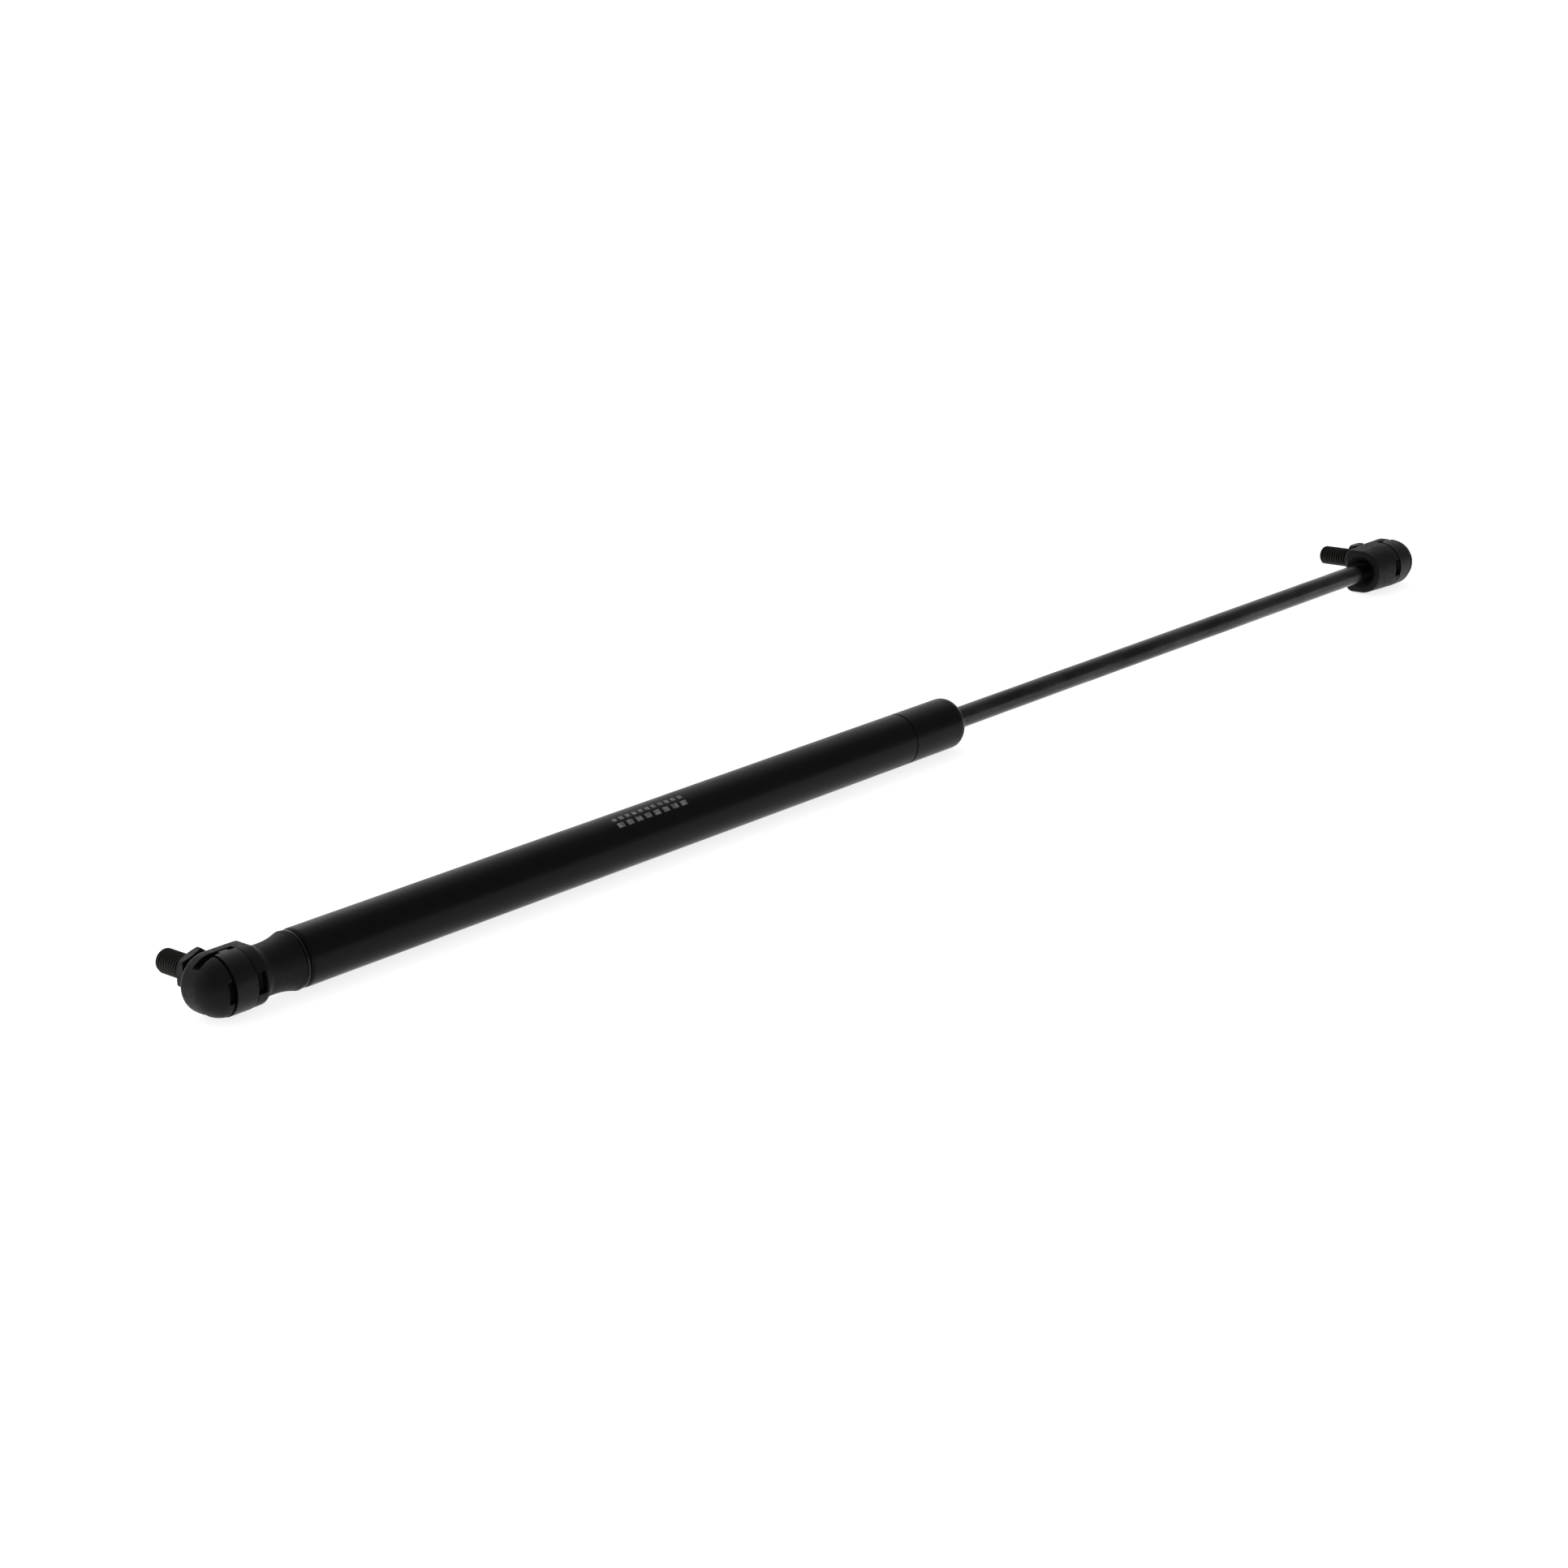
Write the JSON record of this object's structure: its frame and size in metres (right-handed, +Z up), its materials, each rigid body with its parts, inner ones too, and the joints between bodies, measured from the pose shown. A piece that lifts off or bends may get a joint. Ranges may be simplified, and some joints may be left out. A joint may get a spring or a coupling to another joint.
{
  "type": "gas strut stay",
  "caption": "Gas-sprung telescopic stay: black pressure tube, steel rod and a clipped ball socket with threaded ball stud at each end, for lids, hatches and windows.",
  "frame": {"origin": "centre of the ball at the cylinder end", "axes": "+X along the strut towards the rod end, +Y the way both studs point, +Z up"},
  "size_m": [0.645, 0.0423, 0.0196],
  "materials": {
    "tube_paint": "black satin paint",
    "rod_steel": "dark nitrided and polished",
    "socket_metal": "matte black coating on die-cast zinc",
    "clip_steel": "blackened spring steel",
    "stud_steel": "black phosphate and oil",
    "dark_steel": "dark zinc plate",
    "bright_steel": "bright zinc",
    "piston_metal": "turned",
    "seal_rubber": "matte",
    "ring_plastic": "moulded",
    "guide_plastic": "moulded"
  },
  "bodies": {
    "cylinder": {"pressure_tube": "tube_paint", "end_plug": "bright_steel", "end_plug_o_ring": "seal_rubber", "end_washer": "dark_steel", "support_washer": "bright_steel", "rod_seal": "seal_rubber", "seal_washer": "bright_steel", "rod_guide": "guide_plastic", "retaining_washer": "bright_steel", "rod_wiper": "seal_rubber", "cylinder_socket": "socket_metal"},
    "cylinder_clip": {"cylinder_clip": "clip_steel"},
    "cylinder_stud": {"cylinder_ball_stud": "stud_steel"},
    "piston_ring": {"piston_ring": "ring_plastic"},
    "rod": {"piston_rod": "rod_steel", "piston": "piston_metal", "piston_washer": "bright_steel", "orifice_disc": "bright_steel", "rod_socket": "socket_metal"},
    "rod_clip": {"rod_clip": "clip_steel"},
    "rod_stud": {"rod_ball_stud": "stud_steel"}
  },
  "joints": [
    {"name": "clip_lift_cylinder_end", "type": "slide", "parent": "cylinder", "child": "cylinder_clip", "axis": [0, -1, 0], "range_m": [0, 0.001], "stiffness_N_per_m": 400},
    {"name": "ball_turn_cylinder_end", "type": "hinge", "parent": "cylinder", "child": "cylinder_stud", "pos_m": [0, 0, 0], "axis": [0, 1, 0], "continuous": true},
    {"name": "stroke", "type": "slide", "parent": "cylinder", "child": "piston_ring", "axis": [1, 0, 0], "range_m": [-0.25, 0], "stiffness_N_per_m": 640},
    {"name": "rod_turn", "type": "hinge", "parent": "piston_ring", "child": "rod", "pos_m": [0.3, 0, 0], "axis": [1, 0, 0], "continuous": true},
    {"name": "clip_lift_rod_end", "type": "slide", "parent": "rod", "child": "rod_clip", "axis": [0, -1, 0], "range_m": [0, 0.001], "stiffness_N_per_m": 400},
    {"name": "ball_turn_rod_end", "type": "hinge", "parent": "rod", "child": "rod_stud", "pos_m": [0.62, 0, 0], "axis": [0, 1, 0], "continuous": true}
  ]
}
